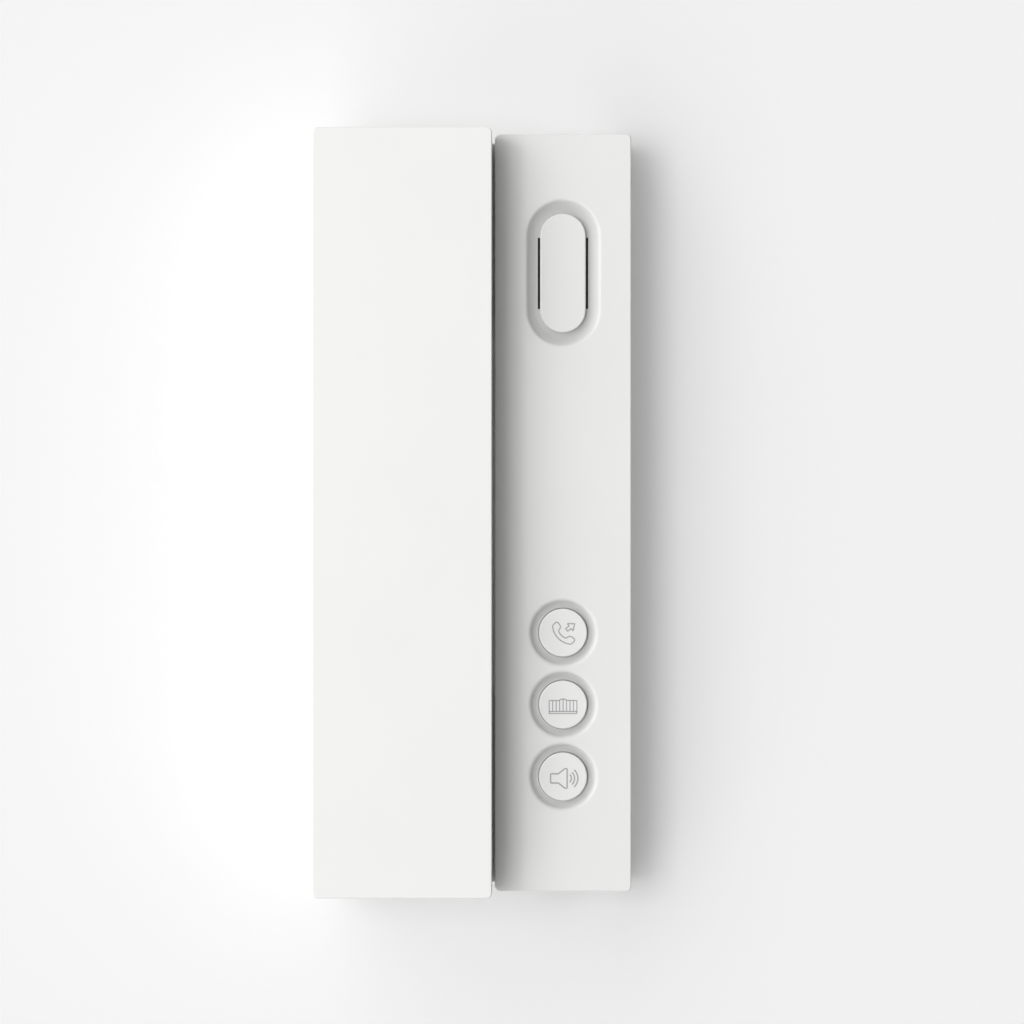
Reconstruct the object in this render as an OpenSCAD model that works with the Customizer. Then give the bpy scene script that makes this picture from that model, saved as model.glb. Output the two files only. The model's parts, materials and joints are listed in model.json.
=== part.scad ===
// Wall-mounted audio intercom: a slab handset hung in a cradle beside a control column.
// Model frame: X to the right, Z up, the wall at Y = 0 and the front towards -Y.
// Every module draws in panel coordinates, x right, y up and z out from the wall,
// and upright() stands the result against the wall.

/* [Handset] */
// Width of the handset
handset_w = 46.6; // [44:0.2:60]
// Length of the handset
handset_h = 200; // [190:1:230]
// Thickness of the handset
handset_t = 22; // [20:0.5:30]
// Gap between the handset and the control column
handset_gap = 0.7; // [0.5:0.1:2]
// Rounding of the handset's back edges
handset_back_r = 1.2; // [0.6:0.1:1.3]

/* [Control column] */
// Width of the column
column_w = 36; // [35:0.5:50]
// Height of the column
column_h = 200; // [190:1:230]
// Distance of the column's front face from the wall
column_d = 26; // [25:0.5:34]

/* [Cradle] */
// Height of the cradle behind the handset
cradle_h = 196; // [186:1:200]
// How far the cradle's left edge lies behind the handset's left edge
cradle_inset = 2; // [1:0.5:6]
// Distance of the two end platforms from the wall
seat_d = 21.7; // [21:0.1:23]
// Distance of the finger recess floor from the wall
recess_d = 12; // [11.5:0.5:14]
// Length of the flat floor of the finger recess
recess_l = 80; // [60:1:84]
// Length of each ramp from the recess floor to a platform
ramp_l = 10; // [8:0.5:12]
// Width of the two hanging lugs
lug_w = 14; // [8:0.5:20]
// Thickness of the hanging lugs, measured up the wall
lug_t = 4.5; // [3:0.5:6]
// How far the hanging lugs stand out of the platforms
lug_h = 5; // [3:0.5:6]

/* [Shells] */
// Wall thickness of the mouldings
wall = 2.2; // [1.8:0.1:2.6]
// Corner radius of the outlines
corner_r = 1.4; // [1.4:0.1:3]
// Rounding of the front edges
edge_r = 0.3; // [0.2:0.1:1.2]
// Clearance between pieces that are put together
fit_gap = 0.3; // [0.15:0.05:0.4]

/* [Buttons] */
// Diameter of the three buttons
button_d = 12.8; // [11:0.2:13.6]
// Clearance round a button
button_gap = 0.15; // [0.1:0.05:0.3]
// Distance between neighbouring buttons
button_pitch = 19; // [18.5:0.5:24]
// Height of the lowest button above the column's bottom edge
button_rise = 30.3; // [28:0.1:40]
// Width of the dished ring round a button
dish_w = 2.6; // [1.5:0.1:2.8]
// Depth of the dished rings
dish_depth = 1.35; // [0.8:0.05:2.4]
// Travel of a button
button_travel = 0.6; // [0.3:0.1:0.8]

/* [Sound outlet] */
// Width of the outlet's island
island_w = 12.1; // [9:0.1:14]
// Length of the outlet's island
island_l = 31.5; // [24:0.5:36]
// Distance of the outlet's centre below the column's top edge
outlet_drop = 36.7; // [34:0.1:44]
// Width of the two sound slots
slot_w = 0.6; // [0.4:0.05:0.9]
// Width of the dished ring round the island
outlet_dish_w = 3.2; // [2:0.1:3.4]

/* [Ringer loudspeaker] */
// Diameter of the loudspeaker
ringer_d = 28; // [24:0.5:28.5]
// Thickness of the foam ring in front of the loudspeaker
ringer_foam_t = 1; // [0.5:0.1:1.5]

/* [Circuit board] */
// Thickness of the circuit boards
board_t = 1.6; // [1:0.1:2]
// Distance of the main board's rear face from the wall
board_d = 11; // [10.9:0.1:11.6]

/* [Hook switch] */
// Distance from the lever's pin to its nose
lever_arm = 24; // [20:0.5:26]
// Width of the hook lever
lever_w = 8; // [6:0.5:10]
// Diameter of the lever's pin
pin_d = 2; // [1.6:0.1:2.4]
// Height of the hook switch above the cradle's bottom edge
hook_rise = 20; // [18:0.5:26]

/* [Wall plate] */
// Thickness of the wall plate
plate_t = 2.5; // [2:0.1:2.5]
// Vertical spacing of the slots for a flush box
box_spacing = 60; // [56:1:70]
// Width of the flush box slots
box_slot_w = 4.4; // [3.6:0.1:5]
// Length of the flush box slots
box_slot_l = 9; // [7:0.5:11]
// Horizontal spacing of the wall plug holes
plug_spacing_x = 60; // [50:1:64]
// Vertical spacing of the wall plug holes
plug_spacing_y = 124; // [100:1:130]
// Diameter of the wall plug holes
plug_hole_d = 4.4; // [3.6:0.1:5.2]
// Width of the cable opening
cable_w = 34; // [24:1:38]
// Height of the cable opening
cable_h = 40; // [24:1:42]

/* [Earpiece and microphone] */
// Diameter of the earpiece capsule
ear_d = 30; // [24:0.5:31]
// Distance of the earpiece's centre below the handset's top end
ear_drop = 20; // [20:0.5:21]
// Diameter of the microphone capsule
mic_d = 9.7; // [6:0.1:10]
// Height of the microphone above the handset's bottom end
mic_rise = 26; // [24:0.5:30]

/* [Hidden] */
$fn = 96;

// Colours of the finishes
white_plastic = [0.93, 0.93, 0.92];
button_plastic = [0.91, 0.91, 0.91];
black_plastic = [0.08, 0.08, 0.09];
board_green = [0.09, 0.32, 0.17];
terminal_green = [0.18, 0.42, 0.24];
zinc_steel = [0.72, 0.73, 0.75];
ferrite_grey = [0.25, 0.25, 0.27];
foam_black = [0.06, 0.06, 0.06];
film_amber = [0.72, 0.55, 0.30];
boot_rubber = [0.12, 0.12, 0.12];

// Lengths by which a cut runs out of its piece and an added piece bites into its parent
over = 1;
bite = 0.5;
round_steps = 8;

// Places across the width: the whole unit is centred on x = 0
unit_w = handset_w + handset_gap + column_w;
handset_x0 = -unit_w / 2;
handset_x1 = handset_x0 + handset_w;
handset_x = (handset_x0 + handset_x1) / 2;
column_x0 = handset_x1 + handset_gap;
column_x1 = unit_w / 2;
column_x = (column_x0 + column_x1) / 2;
cradle_x0 = handset_x0 + cradle_inset;

// Places out from the wall
column_in_d = column_d - wall;
seat_in_d = seat_d - wall;
recess_in_d = recess_d - wall;
handset_z0 = seat_d + fit_gap;
handset_z1 = handset_z0 + handset_t;
handset_part_z = handset_z0 + handset_t / 2;
handset_in_z0 = handset_z0 + wall;
handset_in_z1 = handset_z1 - wall;
board_front_d = board_d + board_t;

// Places up the wall
seat_y = recess_l / 2 + ramp_l;
cradle_in_y = cradle_h / 2 - wall;
column_in_y = column_h / 2 - wall;
outlet_y = column_h / 2 - outlet_drop;
button_y = [for (i = [0 : 2]) -column_h / 2 + button_rise + i * button_pitch];
hook_y = -cradle_h / 2 + hook_rise;
ear_y = handset_h / 2 - ear_drop;
mic_y = -handset_h / 2 + mic_rise;

// Hanging lugs: they lean up at 45 degrees, so the handset leaves upwards and forwards
lug_set_back = 2;
lug_rest_gap = 0.15;
lug_free_gap = 0.6;
lug_side_gap = 0.5;
lug_tip_gap = 0.5;
lug_tip = 0.8;
lug_below_ear = 28;
lug_above_mic = 17.5;
pocket_wall = 1.4;
pocket_w = lug_w + 2 * lug_side_gap;
upper_lug_y = ear_y - lug_below_ear;
lower_lug_y = mic_y + lug_above_mic;

// Stiffening ribs behind the column's panel and behind the recess floor
rib_t = 1.2;
rib_h = 2.5;
rib_end_gap = 5;
panel_rib_x = 12.8;
floor_rib_y = 26;

// Button and switch stack
collar_l = 8;
collar_t = 1.6;
collar_d = column_d - collar_l;
flange_t = 1.2;
flange_w = 1.1;
flange_gap = 0.15;
button_edge_r = 0.4;
button_proud = 0.2;
button_wall = 1.6;
button_top_t = 2;
button_stem_d = 4;
button_bore_d = button_d + 2 * button_gap;
key_w = 1.4;
key_h = 0.8;
switch_w = 6;
switch_h = 3.5;
plunger_d = 3.4;
plunger_out = 1.5;
plunger_in = 1.2;
plunger_end_gap = 0.2;
running_gap = 0.05;
plunger_top = board_front_d + switch_h + plunger_out;

// Dished rings round the buttons and the outlet, and the wall that is thickened behind them
dish_floor_w = 0.3;
dish_hollow = 0.6;
outlet_hollow = 0.75;
dish_skin = 1.2;
dish_back_w = 1.2;
dish_back_d = min(column_in_d, column_d - dish_depth - dish_skin);
dish_back_r = button_bore_d / 2 + dish_floor_w + dish_w + dish_back_w;
outlet_back_r = island_w / 2 + slot_w + dish_floor_w + outlet_dish_w + dish_back_w;
slot_inset = 0.25;
slot_l = island_l - island_w - 2 * slot_inset;

// Loudspeaker stack behind the sound outlet
mesh_t = 0.3;
film_t = 0.2;
ringer_rim_t = 0.8;
ringer_front = dish_back_d - mesh_t - ringer_foam_t;
ringer_rim_back = ringer_front - ringer_rim_t;
ringer_rim_w = 2;
ringer_cup_h = 3.4;
ringer_cup_t = 0.6;
ringer_magnet_h = 2.4;
ringer_magnet_d = 15;
ringer_collar_t = 1.2;
ringer_boss_d = 4.4;
ringer_screw_gap = 2.6;
ringer_screw_k = (ringer_d / 2 + ringer_screw_gap) * cos(45);
ringer_vent_r = 2;
ringer_foot_w = 1;
ringer_skin = 0.4;
ringer_step = 0.1;
film_edge = 0.2;
film_roll_w = 2.8;
film_roll_h = 0.6;
film_dome_r = 5;
film_dome_h = 1;
film_dish = 1.8;
ringer_head_d = 6;

// Main board
board_gap = 1.2;
board_x0 = column_x0 + wall + board_gap;
board_x1 = column_x1 - wall - board_gap;
board_end_gap = 0.5;
board_top_gap = 4;
board_y0 = -column_in_y + board_end_gap;
board_y1 = column_in_y - board_top_gap;
boss_d = 5.2;
boss_inset = 3;
boss_rise = 20;
boss_drop = 4;
board_boss_y = [board_y0 + boss_rise, board_y1 - boss_drop];
screw_hole_d = 2.6;
pilot_d = 2.2;
pilot_l = 7;
capacitor_d = 8;
capacitor_h = 10;
capacitor_x = 7;
capacitor_rise = 16;
chip_w = 7.5;
chip_l = 10;
chip_h = 2.4;
chip_pins = 8;
chip_stand = 0.1;
chip_pin_l = 1.8;
chip_pin_w = 0.4;
chip_pin_t = 0.3;
chip_pin_out = 0.4;
header_w = 5;
header_l = 7;
header_h = 6;
header_wall = 0.8;
header_floor = 1.5;
header_inset = 5;
header_rise = 32;
terminal_ways = 6;
terminal_pitch = 3.5;
terminal_w = 8;
terminal_h = 8;
terminal_y = 8;
terminal_well_d = 2.8;
terminal_well_l = 3;
terminal_screw_d = 2.6;
terminal_screw_l = 2;
terminal_screw_x = 1;
terminal_slot_w = 0.5;
terminal_slot_d = 0.6;
terminal_entry_d = 2.2;

// Self-tapping screws: shank, head, and the cross recess as shares of its head
shank_d = 2;
head_d = 4.2;
head_t = 1.6;
cross_l = 0.3;
cross_w = 0.07;
cross_floor = 0.45;

// Handset cord sockets, of the four-contact modular kind
jack_w = 11;
jack_h = 8;
jack_l = 13;
jack_mouth_w = 7.8;
jack_mouth_h = 5.4;
jack_mouth_l = 10;
jack_latch_w = 3.4;
jack_latch_h = 1;
jack_wall = 0.9;
jack_recess = 0.4;
jack_gap = 0.25;
handset_jack_gap = 0.4;
handset_jack_z0 = handset_in_z0 + handset_jack_gap;

// Hook switch
pin_offset = 10;
pin_depth = 5;
switch_arm = 11;
pin_x = handset_x + pin_offset;
nose_x = pin_x - lever_arm;
hook_switch_x = pin_x - switch_arm;
pin_z = seat_in_d - pin_depth;
lever_t = 2.2;
lever_hub_r = 2.8;
lever_under_z = pin_z - lever_t / 2;
nose_t = 3;
nose_gap = 0.1;
nose_top = handset_z0 - nose_gap;
lever_swing = 6;
nose_shift = (nose_top - pin_z) * sin(lever_swing);
ear_t = 2.6;
ear_w = 6;
lever_side_gap = 0.3;
hook_board_d = 5;
hook_board_front = hook_board_d + board_t;
hook_board_w = 18;
hook_board_l = 24;
hook_boss_y = 9;
micro_l = 12.8;
micro_w = 5.8;
micro_gap = 1.2;
micro_top = lever_under_z - micro_gap;
micro_button_d = 2;
micro_button_in = 2.2;
micro_bore_gap = 0.3;

// Wall plate and what holds the housing on it
plate_x0 = cradle_x0 + wall + fit_gap;
plate_x1 = column_x1 - wall - fit_gap;
plate_y = cradle_in_y - fit_gap;
plate_corner_r = 2;
plate_rib_t = 1.2;
plate_rib_h = 3;
plate_rib_inset = 0.6;
plate_rib_end = 16;
cable_collar_t = 1.2;
cable_collar_h = 2;
prong_offset = 22;
prong_x = [-prong_offset, prong_offset];
prong_w = 8;
prong_t = 1.5;
prong_drop = 3;
ledge_rise = 1.7;
ledge_z0 = plate_t + ledge_rise;
ledge_t = 1.8;
prong_lip_z0 = ledge_z0 + ledge_t + fit_gap;
case_screw_inset = 13;
case_screw_x = cradle_x0 + case_screw_inset;
case_boss_d = 8;
case_boss_t = 2;
case_head_d = 5.6;
case_head_t = 1.8;
case_head_sink = 0.2;
case_shank_d = 2.6;
case_hole_d = 3.4;
plate_boss_d = 7;
plate_boss_gap = 0.2;
plate_boss_top = recess_in_d - case_boss_t - plate_boss_gap;

// Handset details
part_line = 0.15;
tongue_t = 1;
tongue_h = 2.5;
tongue_gap = 0.1;
screw_above_lug = 22.5;
screw_below_lug = 12;
handset_screw_y = [lower_lug_y + screw_above_lug, upper_lug_y - screw_below_lug];
handset_boss_d = 6.4;
handset_boss_h = 3;
handset_boss_gap = 0.1;
handset_boss_z = handset_in_z0 + handset_boss_h;
handset_head_in = 2.4;
handset_head_z = handset_z0 + handset_head_in;
ear_foam_t = 1;
ear_foam_w = 3.5;
ear_capsule_h = 8;
ear_capsule_step = 3.5;
ear_capsule_step_w = 2;
ear_mouth_rim = 5;
ear_capsule_back_d = ear_d - 2 * ear_capsule_step_w;
ear_mouth_d = ear_d - 2 * ear_mouth_rim;
ear_mouth_depth = 0.8;
ear_ring_t = 1.2;
ear_ring_h = 5.5;
ear_dish_r = 15;
ear_dish_depth = 1;
ear_hole_d = 1.8;
ear_rows = [[0, 1], [4, 6], [8, 12]];
press_rib_t = 1.2;
press_rib_l = 24;
press_gap = 0.1;
front_rib_x = 13;
front_rib_t = 1.2;
front_rib_h = 3;
mic_h = 6.5;
mic_boot_wall = 1.1;
mic_boot_floor = 1;
mic_gap = 0.1;
mic_bore_d = mic_d + mic_gap;
mic_boot_d = mic_bore_d + 2 * mic_boot_wall;
mic_seat_d = mic_boot_d + 2 * mic_gap;
mic_ring_t = 1.2;
mic_ring_h = 5;
mic_hole_d = 1.6;
mic_hole_pitch = 3;

// Stands a piece drawn in panel coordinates against the wall
module upright() rotate([90, 0, 0]) children();

// Points of a smooth S from (0, 0) to (w, h): a hollow curve, then a crown
function s_curve(w, h, hollow, steps = 9) =
    let (turn = 2 * atan(h / w), whole = w / sin(turn), a = whole * hollow, b = whole - a)
    concat(
        [for (i = [0 : steps]) let (t = turn * i / steps) [a * sin(t), a - a * cos(t)]],
        [for (i = [steps - 1 : -1 : 0]) let (t = turn * i / steps) [w - b * sin(t), h - b + b * cos(t)]]
    );

// Points of a quarter round whose corner is (x, y), from its side up to its top
function outer_round(x, y, r) =
    [for (i = [0 : round_steps]) let (t = 90 * i / round_steps) [x - r + r * cos(t), y - r + r * sin(t)]];

function shifted(points, by) = [for (p = points) p + by];
function backwards(points) = [for (i = [len(points) - 1 : -1 : 0]) points[i]];
function flipped(points) = [for (p = points) [-p[0], p[1]]];

// Rectangle with round corners
module round_rect(x0, x1, y0, y1, r) {
    translate([x0 + r, y0]) square([x1 - x0 - 2 * r, y1 - y0]);
    translate([x0, y0 + r]) square([x1 - x0, y1 - y0 - 2 * r]);
    for (x = [x0 + r, x1 - r], y = [y0 + r, y1 - r]) translate([x, y]) circle(r);
}

// Profile from a0 to a1 across and z0 to z1 up, with its two upper corners rounded by e
module crown_profile(a0, a1, z0, z1, e) polygon(concat(
    [[a0, z0], [a1, z0]],
    outer_round(a1, z1, e),
    backwards(flipped(outer_round(-a0, z1, e)))
));

// Upright block from z0 to z1, with corners of radius c and its top edges rounded by e
module soft_block(x0, x1, y0, y1, z0, z1, c, e) {
    across(x0 + c, x1 - c) crown_profile(y0, y1, z0, z1, e);
    up_wall(y0 + c, y1 - c) crown_profile(x0, x1, z0, z1, e);
    for (corner = [[x1 - c, y1 - c, 0], [x0 + c, y1 - c, 90], [x0 + c, y0 + c, 180], [x1 - c, y0 + c, 270]])
        translate([corner[0], corner[1], 0]) rotate([0, 0, corner[2]]) rotate_extrude(angle = 90)
            polygon(concat([[0, z0], [c, z0]], outer_round(c, z1, e), [[0, z1]]));
}

// Plain block between two corners
module block(x0, x1, y0, y1, z0, z1) translate([x0, y0, z0]) cube([x1 - x0, y1 - y0, z1 - z0]);

// Round post or hole from z0 to z1
module post(x, y, d, z0, z1) translate([x, y, z0]) cylinder(d = d, h = z1 - z0);

// Ring from z0 to z1
module ring(x, y, d_in, d_out, z0, z1) difference() {
    post(x, y, d_out, z0, z1);
    post(x, y, d_in, z0 - over, z1 + over);
}

// Profile in y and z, pulled across from x0 to x1
module across(x0, x1) translate([x0, 0, 0]) rotate([90, 0, 90]) linear_extrude(x1 - x0) children();

// Profile in x and z, pulled up the wall from y0 to y1
module up_wall(y0, y1) translate([0, y1, 0]) rotate([90, 0, 0]) linear_extrude(y1 - y0) children();

// Profile in radius and z, swept round a straight-sided oval of straight length l
module oval_sweep(l) for (turn = [0, 180]) rotate([0, 0, turn]) {
    translate([0, l / 2, 0]) rotate_extrude(angle = 180) children();
    up_wall(-l / 2, l / 2) children();
}

// Self-tapping screw whose head bears at z, the shank running outwards for l
module screw(x, y, z, l, d = shank_d, hd = head_d, ht = head_t) translate([x, y, z]) difference() {
    union() {
        post(0, 0, d, -bite, l);
        post(0, 0, hd, -ht, 0);
    }
    for (turn = [0, 90]) rotate([0, 0, turn])
        block(-hd * cross_l, hd * cross_l, -hd * cross_w, hd * cross_w, -ht - over, -ht * cross_floor);
}

// Modular socket with its mouth at y facing down and its board side at the top
module modular_socket(x, y, z) translate([x, y, z]) difference() {
    block(-jack_w / 2, jack_w / 2, 0, jack_l, 0, jack_h);
    block(-jack_mouth_w / 2, jack_mouth_w / 2, -over, jack_mouth_l, jack_wall, jack_wall + jack_mouth_h);
    block(-jack_latch_w / 2, jack_latch_w / 2, -over, jack_mouth_l, jack_wall,
        jack_wall + jack_mouth_h + jack_latch_h);
}

// Leaning side view of a hanging lug from z0 to z1, grown by free below and by rest above
module lug_profile(y0, z0, z1, free = 0, rest = 0, tip = 0) {
    low = y0 - free - seat_d;
    high = y0 + lug_t + rest - seat_d;
    polygon([
        [low + z0, z0], [high + z0, z0], [high + z1 - tip, z1 - tip], [high + z1 - tip, z1],
        [low + z1 + tip, z1], [low + z1 - tip, z1 - tip]
    ]);
}

// Foot that carries a hanging lug on the recess floor where no platform lies under it
module lug_foot(y0) block(handset_x - lug_w / 2, handset_x + lug_w / 2, y0 - lug_set_back,
    y0 + lug_t + lug_set_back, recess_in_d + bite, seat_d - bite / 2);

// Upper half of the cradle's side view: recess floor, ramp, platform and end wall
function cradle_half() = concat(
    shifted(s_curve(ramp_l, seat_d - recess_d, 0.5), [recess_l / 2, recess_d]),
    backwards(outer_round(cradle_h / 2, seat_d, edge_r)),
    [[cradle_h / 2, 0]]
);

module cradle_shell() intersection() {
    across(cradle_x0, column_x0 + wall) polygon(concat(cradle_half(), backwards(flipped(cradle_half()))));
    linear_extrude(2 * seat_d, center = true)
        round_rect(cradle_x0, column_x0 + column_w / 2, -cradle_h / 2, cradle_h / 2, corner_r);
}

module base_cavity() {
    block(column_x0 + wall, column_x1 - wall, -column_in_y, column_in_y, -over, column_in_d);
    block(cradle_x0 + wall, column_x0 + wall + over, -cradle_in_y, cradle_in_y, -over, recess_in_d);
    for (y0 = [seat_y + bite, -cradle_in_y]) block(cradle_x0 + wall, column_x0 + wall + over, y0,
        y0 + cradle_in_y - seat_y - bite, -over, seat_in_d);
}

// Section of the dished ring that is cut round a hole of radius r
module dish_profile(r) polygon(concat(
    [[0, 0]],
    shifted(s_curve(dish_w, dish_depth, dish_hollow), [r, 0]),
    [[r + dish_w, dish_depth + over], [0, dish_depth + over]]
));

// Section of the dished ring round the sound outlet's island
module island_profile(r) polygon(concat(
    shifted(s_curve(outlet_dish_w, dish_depth, outlet_hollow), [r + slot_w + dish_floor_w, 0]),
    [[r + slot_w + dish_floor_w + outlet_dish_w, dish_depth + over], [r - button_edge_r, dish_depth + over]],
    backwards(outer_round(r, dish_depth, button_edge_r)),
    [[r, 0]]
));

// Posts, collars, ears and lugs moulded in one with the housing
module base_bosses() {
    for (y = button_y) {
        post(column_x, y, button_bore_d + 2 * collar_t, collar_d, column_in_d + bite);
        post(column_x, y, 2 * dish_back_r, dish_back_d, column_in_d + bite);
    }
    post(column_x, outlet_y, ringer_d + 2 * fit_gap + 2 * ringer_collar_t, dish_back_d, column_in_d + bite);
    translate([column_x, outlet_y, dish_back_d]) oval_sweep(island_l - island_w)
        square([outlet_back_r, column_in_d + bite - dish_back_d]);
    for (x = [board_x0 + boss_inset, board_x1 - boss_inset], y = board_boss_y)
        post(x, y, boss_d, board_front_d, column_in_d + bite);
    ring(column_x, outlet_y, ringer_d + 2 * fit_gap, ringer_d + 2 * fit_gap + 2 * ringer_collar_t,
        ringer_rim_back, column_in_d + bite);
    for (side = [-1, 1]) {
        post(column_x + side * ringer_screw_k, outlet_y + side * ringer_screw_k, ringer_boss_d,
            ringer_rim_back, column_in_d + bite);
        post(hook_switch_x, hook_y + side * hook_boss_y, boss_d, hook_board_front, seat_in_d + bite);
    }
    for (y0 = [hook_y + lever_w / 2 + lever_side_gap, hook_y - lever_w / 2 - lever_side_gap - ear_t])
        block(pin_x - ear_w / 2, pin_x + ear_w / 2, y0, y0 + ear_t, pin_z - ear_w / 2, seat_in_d + bite);
    post(case_screw_x, 0, case_boss_d, recess_in_d - case_boss_t, recess_in_d + bite);
    for (side = [-1, 1]) {
        block(column_x + side * panel_rib_x - rib_t / 2, column_x + side * panel_rib_x + rib_t / 2,
            button_y[2] + button_bore_d, outlet_y - ringer_d / 2 - rib_end_gap, column_in_d - rib_h,
            column_in_d + bite);
        block(cradle_x0 + wall - bite, column_x0, side * floor_rib_y - rib_t / 2,
            side * floor_rib_y + rib_t / 2, recess_in_d - rib_h, recess_in_d + bite);
    }
    for (x = prong_x) block(x - prong_w / 2, x + prong_w / 2, plate_y - prong_drop + prong_t + fit_gap,
        (x > column_x0 ? column_in_y : cradle_in_y) + bite, ledge_z0, ledge_z0 + ledge_t);
    for (y = [upper_lug_y, lower_lug_y]) across(handset_x - lug_w / 2, handset_x + lug_w / 2)
        lug_profile(y, seat_d - bite, seat_d + lug_h, tip = lug_tip);
}

// Bores, dishes, slots and windows of the housing
module base_holes() {
    for (y = button_y) {
        post(column_x, y, button_bore_d, collar_d - over, column_d + over);
        translate([column_x, y, column_d - dish_depth])
            rotate_extrude() dish_profile(button_bore_d / 2 + dish_floor_w);
        block(column_x - key_w / 2 - button_gap, column_x + key_w / 2 + button_gap,
            y - button_bore_d / 2 - key_h - button_gap, y, collar_d - over, column_in_d - over);
    }
    translate([column_x, outlet_y, column_d - dish_depth])
        oval_sweep(island_l - island_w) island_profile(island_w / 2);
    for (x = [column_x - island_w / 2 - slot_w, column_x + island_w / 2])
        block(x, x + slot_w, outlet_y - slot_l / 2, outlet_y + slot_l / 2, dish_back_d - over, column_d);
    for (x = [board_x0 + boss_inset, board_x1 - boss_inset], y = board_boss_y)
        post(x, y, pilot_d, board_front_d - over, board_front_d + pilot_l);
    for (side = [-1, 1]) {
        post(column_x + side * ringer_screw_k, outlet_y + side * ringer_screw_k, pilot_d,
            ringer_rim_back - over, column_in_d + over);
        post(hook_switch_x, hook_y + side * hook_boss_y, pilot_d, hook_board_front - over,
            hook_board_front + pilot_l);
    }
    up_wall(hook_y - lever_w, hook_y + lever_w) translate([pin_x, pin_z]) circle(d = pin_d + running_gap);
    block(nose_x - nose_t / 2 - bite, nose_x + nose_t / 2 + nose_shift + bite, hook_y - lever_w / 2 - bite,
        hook_y + lever_w / 2 + bite, seat_in_d - over, seat_d + over);
    post(case_screw_x, 0, case_head_d + 2 * fit_gap, recess_d - case_head_t, recess_d + over);
    post(case_screw_x, 0, case_hole_d, 0, recess_d);
    block(column_x - jack_w / 2 - jack_gap, column_x + jack_w / 2 + jack_gap, -column_h / 2 - over,
        -column_in_y + over, board_d - jack_h - jack_gap, board_d + jack_gap);
}

module base_housing() color(white_plastic) upright() difference() {
    union() {
        difference() {
            union() {
                soft_block(column_x0, column_x1, -column_h / 2, column_h / 2, 0, column_d, corner_r, edge_r);
                cradle_shell();
                for (y = [upper_lug_y, lower_lug_y]) lug_foot(y);
            }
            base_cavity();
        }
        base_bosses();
    }
    base_holes();
}

// Wall plate: screwed to the wall first, with prongs at its top and a screw boss in its middle
module wall_plate() color(white_plastic) upright() difference() {
    union() {
        linear_extrude(plate_t) round_rect(plate_x0, plate_x1, -plate_y, plate_y, plate_corner_r);
        for (x = prong_x) {
            block(x - prong_w / 2, x + prong_w / 2, plate_y - prong_drop, plate_y - prong_drop + prong_t,
                plate_t - bite, prong_lip_z0 + prong_t);
            block(x - prong_w / 2, x + prong_w / 2, plate_y - prong_drop, plate_y - fit_gap,
                prong_lip_z0, prong_lip_z0 + prong_t);
        }
        post(case_screw_x, 0, plate_boss_d, plate_t - bite, plate_boss_top);
        for (x = [plate_x0 + plate_rib_inset, plate_x1 - plate_rib_inset - plate_rib_t])
            block(x, x + plate_rib_t, -plate_y + plate_rib_end, plate_y - plate_rib_end, plate_t - bite,
                plate_t + plate_rib_h);
        translate([0, 0, plate_t - bite]) linear_extrude(cable_collar_h + bite)
            round_rect(-cable_w / 2 - cable_collar_t, cable_w / 2 + cable_collar_t,
                -cable_h / 2 - cable_collar_t, cable_h / 2 + cable_collar_t, plate_corner_r + cable_collar_t);
    }
    translate([0, 0, -over]) linear_extrude(plate_t + cable_collar_h + 2 * over)
        round_rect(-cable_w / 2, cable_w / 2, -cable_h / 2, cable_h / 2, plate_corner_r);
    for (y = [-box_spacing / 2, box_spacing / 2]) {
        for (end = [-1, 1])
            post(0, y + end * (box_slot_l - box_slot_w) / 2, box_slot_w, -over, plate_t + over);
        block(-box_slot_w / 2, box_slot_w / 2, y - (box_slot_l - box_slot_w) / 2,
            y + (box_slot_l - box_slot_w) / 2, -over, plate_t + over);
    }
    for (x = [-1, 1], y = [-1, 1])
        post(x * plug_spacing_x / 2, y * plug_spacing_y / 2, plug_hole_d, -over, plate_t + over);
    post(case_screw_x, 0, case_shank_d + 2 * running_gap, plate_t, plate_boss_top + over);
}

module case_screw() color(zinc_steel) upright() translate([case_screw_x, 0, recess_d - case_head_t])
    mirror([0, 0, 1]) screw(0, 0, 0, recess_d - case_head_t - plate_t - bite, case_shank_d, case_head_d,
        case_head_t - case_head_sink);

// Main board and what is soldered to it
module main_board() color(board_green) upright() difference() {
    block(board_x0, board_x1, board_y0, board_y1, board_d, board_front_d);
    for (x = [board_x0 + boss_inset, board_x1 - boss_inset], y = board_boss_y)
        post(x, y, screw_hole_d, board_d - over, board_front_d + over);
}

module board_screws() color(zinc_steel) upright()
    for (x = [board_x0 + boss_inset, board_x1 - boss_inset], y = board_boss_y)
        screw(x, y, board_d, board_t + pilot_l - bite);

module button_switches() color(black_plastic) upright() for (y = button_y) difference() {
    block(column_x - switch_w / 2, column_x + switch_w / 2, y - switch_w / 2, y + switch_w / 2,
        board_front_d, board_front_d + switch_h);
    post(column_x, y, plunger_d + 2 * running_gap,
        plunger_top - plunger_out - plunger_in - button_travel - plunger_end_gap,
        board_front_d + switch_h + over);
}

module capacitors() color(black_plastic) upright() for (side = [-1, 1])
    post(column_x + side * capacitor_x, terminal_y + capacitor_rise, capacitor_d, board_front_d,
        board_front_d + capacitor_h);

module controller_chip() color(black_plastic) upright() translate([column_x, 0, board_front_d]) {
    block(-chip_w / 2, chip_w / 2, -chip_l / 2, chip_l / 2, chip_stand, chip_h);
    for (side = [-1, 1], i = [0 : chip_pins - 1]) {
        x = side * (chip_w / 2 + chip_pin_out);
        y = (i - (chip_pins - 1) / 2) * chip_l / chip_pins;
        block(x - chip_pin_l / 2, x + chip_pin_l / 2, y - chip_pin_w / 2, y + chip_pin_w / 2, 0, chip_pin_t);
    }
}

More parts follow.
